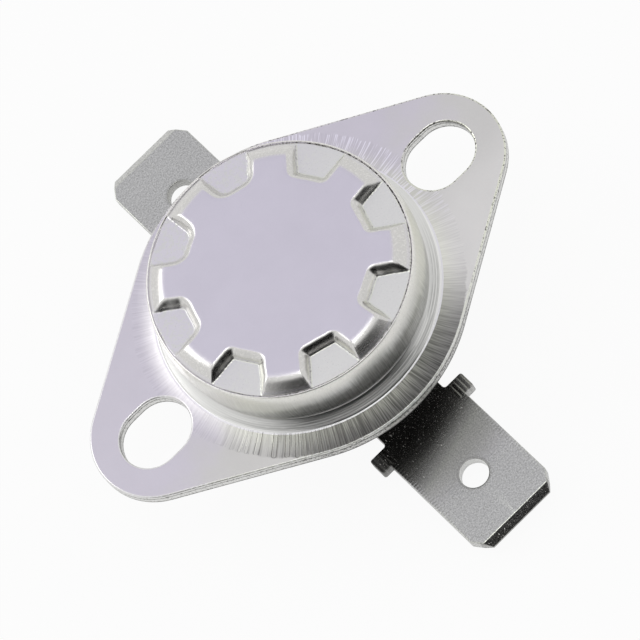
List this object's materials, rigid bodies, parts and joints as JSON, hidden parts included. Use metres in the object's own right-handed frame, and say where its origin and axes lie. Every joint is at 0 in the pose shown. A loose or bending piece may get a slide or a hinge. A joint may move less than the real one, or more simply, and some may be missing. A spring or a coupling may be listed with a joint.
{
  "type": "bimetal thermostat",
  "caption": "Snap-disc bimetal thermostat: a flanged metal cap over a moulded base, with a sprung contact inside and two flat push-on terminals.",
  "frame": {"origin": "centre of the back of the base, on the axis of the cap, in the plane that the part rests on", "axes": "+Z out of the sensing face, +X through the two fixing slots, +Y along the terminals, towards the one that feeds the spring arm"},
  "size_m": [0.032, 0.0358, 0.0129],
  "materials": {
    "cap": "matt drawn sheet with bright rolled edges",
    "terminals": "tin plated, fine speckle",
    "base": "moulded phenolic, black",
    "disc": "rolled bimetal",
    "pin": "unglazed white ceramic",
    "rivets": "bright brass",
    "arm": "rolled copper alloy",
    "contacts": "silver"
  },
  "bodies": {
    "housing": {"cap": "cap", "base": "base", "guide_plate": "base", "arm_side_terminal": "terminals", "fixed_side_terminal": "terminals", "arm_side_rivet": "rivets", "fixed_side_rivet": "rivets", "arm_washer": "rivets", "fixed_contact_plate": "rivets", "fixed_contact": "contacts"},
    "disc": {"bimetal_disc": "disc"},
    "pin": {"transfer_pin": "pin"},
    "arm": {"contact_arm": "arm", "moving_contact": "contacts"}
  },
  "joints": [
    {"name": "disc_snap", "type": "slide", "parent": "housing", "child": "disc", "axis": [0, 0, -1], "range_m": [0, 0.0005], "stiffness_N_per_m": 200, "deforming": ["bimetal_disc"]},
    {"name": "pin_slide", "type": "slide", "parent": "housing", "child": "pin", "axis": [0, 0, -1], "range_m": [0, 0.00036]},
    {"name": "arm_swing", "type": "hinge", "parent": "housing", "child": "arm", "pos_m": [0, 0.0028, 0.0063], "axis": [1, 0, 0], "range_deg": [0, 7.2], "stiffness_Nm_per_rad": 0.00002, "springref_deg": -8.59, "deforming": ["contact_arm"]}
  ],
  "couplings": [
    {"joint": "pin_slide", "follows": "disc_snap", "ratio": 0.7},
    {"joint": "arm_swing", "follows": "disc_snap", "rad_per_m": 250}
  ]
}
